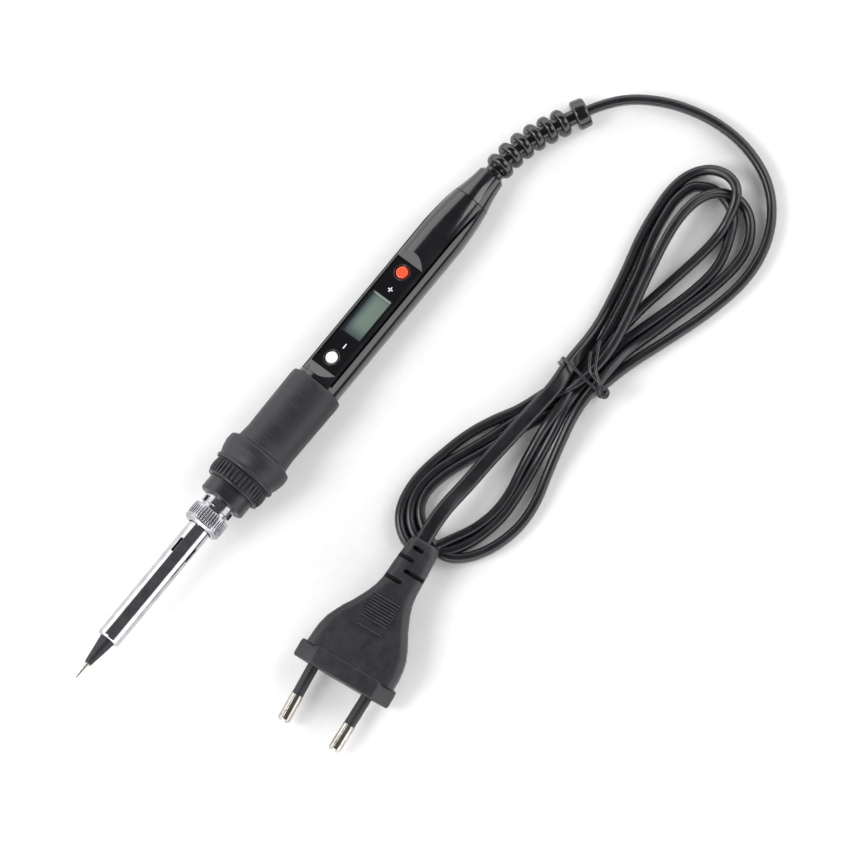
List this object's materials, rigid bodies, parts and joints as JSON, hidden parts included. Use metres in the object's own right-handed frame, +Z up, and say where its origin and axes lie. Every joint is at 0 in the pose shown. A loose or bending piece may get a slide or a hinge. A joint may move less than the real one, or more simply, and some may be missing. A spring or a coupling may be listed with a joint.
{
  "type": "soldering iron",
  "caption": "Pencil soldering iron with a display handle, two push buttons, a ribbed rubber grip and a hanked two-pin mains lead.",
  "frame": {"origin": "on the bench under the middle of the iron's box, tip to tail cap, without the lead", "axes": "+X along the iron from the tip to the tail cap, +Z up from the bench, +Y away from the coiled lead"},
  "size_m": [0.2552, 0.0911, 0.0224],
  "materials": {
    "tip_plating": "dark iron plating, tinned at the point",
    "ceramic": "sintered alumina",
    "barrel_steel": "polished stainless steel",
    "nut_steel": "straight knurl, plated",
    "nipple_steel": "turned",
    "washer_steel": "stamped",
    "collar_plastic": "moulded, heat resistant",
    "grip_rubber": "matte silicone",
    "body_plastic": "moulded, semi-gloss",
    "window_plastic": "polished, printed black behind",
    "lcd": "grey-green display behind a film",
    "white_plastic": "moulded",
    "contact_metal": "tinned",
    "board": "solder mask over glass epoxy",
    "black_moulding": "moulded",
    "white_button": "moulded",
    "red_button": "moulded",
    "capacitor_case": "potted case",
    "capacitor_sleeve": "shrunk sleeve",
    "fuse_glass": "glass tube",
    "resistor_body": "lacquered",
    "wire_jacket": "PTFE",
    "glass_sleeve": "braided glass fibre",
    "relief_rubber": "moulded, glossy",
    "cord_jacket": "satin PVC",
    "tie_coating": "plastic over wire",
    "plug_plastic": "fine moulded grain",
    "pin_metal": "nickel plated"
  },
  "bodies": {
    "handle": {"circuit_board": "board", "controller_chip": "black_moulding", "cord": "cord_jacket", "cord_hank": "cord_jacket", "display_window": "window_plastic", "dropper_capacitor": "capacitor_case", "front_collar": "collar_plastic", "fuse": "fuse_glass", "grip": "grip_rubber", "handle_body": "body_plastic", "heater": "ceramic", "heater_flange": "ceramic", "heater_leads": "wire_jacket", "lcd_glass": "lcd", "lcd_holder": "white_plastic", "lcd_pins": "contact_metal", "lead_sleeves": "glass_sleeve", "mains_wires": "wire_jacket", "nipple": "nipple_steel", "pin_sleeves": "black_moulding", "plug_body": "plug_plastic", "plug_bridge": "black_moulding", "plug_crimps": "contact_metal", "plug_lead": "cord_jacket", "plug_pins": "pin_metal", "resistors": "resistor_body", "smoothing_capacitor": "capacitor_sleeve", "strain_relief": "relief_rubber", "switch_bodies": "black_moulding", "tail_cap": "body_plastic", "top_cover": "body_plastic", "triac": "black_moulding", "twist_tie": "tie_coating"},
    "barrel": {"barrel": "barrel_steel", "tip": "tip_plating"},
    "sleeve_nut": {"sleeve_nut": "nut_steel"},
    "slip_washer": {"slip_washer": "washer_steel"},
    "ring_nut": {"ring_nut": "collar_plastic"},
    "minus_button": {"minus_button": "white_button", "minus_plunger": "black_moulding"},
    "plus_button": {"plus_button": "red_button", "plus_plunger": "black_moulding"}
  },
  "joints": [
    {"name": "barrel_advance", "type": "slide", "parent": "handle", "child": "barrel", "axis": [-0.9991, 0, 0.0427], "range_m": [0, 0.00337]},
    {"name": "nut_turn", "type": "hinge", "parent": "barrel", "child": "sleeve_nut", "pos_m": [-0.04021, 0, 0.01216], "axis": [-0.9991, 0, 0.0427], "range_deg": [0, 1621]},
    {"name": "ring_advance", "type": "slide", "parent": "handle", "child": "slip_washer", "axis": [-0.9991, 0, 0.0427], "range_m": [0, 0.002]},
    {"name": "ring_turn", "type": "hinge", "parent": "slip_washer", "child": "ring_nut", "pos_m": [-0.02503, 0, 0.01151], "axis": [-0.9991, 0, 0.0427], "range_deg": [0, 721]},
    {"name": "minus_press", "type": "slide", "parent": "handle", "child": "minus_button", "axis": [-0.0404, -0.3256, -0.9447], "range_m": [0, 0.0004], "stiffness_N_per_m": 3000},
    {"name": "plus_press", "type": "slide", "parent": "handle", "child": "plus_button", "axis": [-0.0404, -0.3256, -0.9447], "range_m": [0, 0.0004], "stiffness_N_per_m": 3000}
  ],
  "couplings": [
    {"joint": "nut_turn", "follows": "barrel_advance", "rad_per_m": 8377.6},
    {"joint": "ring_turn", "follows": "ring_advance", "rad_per_m": 6283.2}
  ]
}
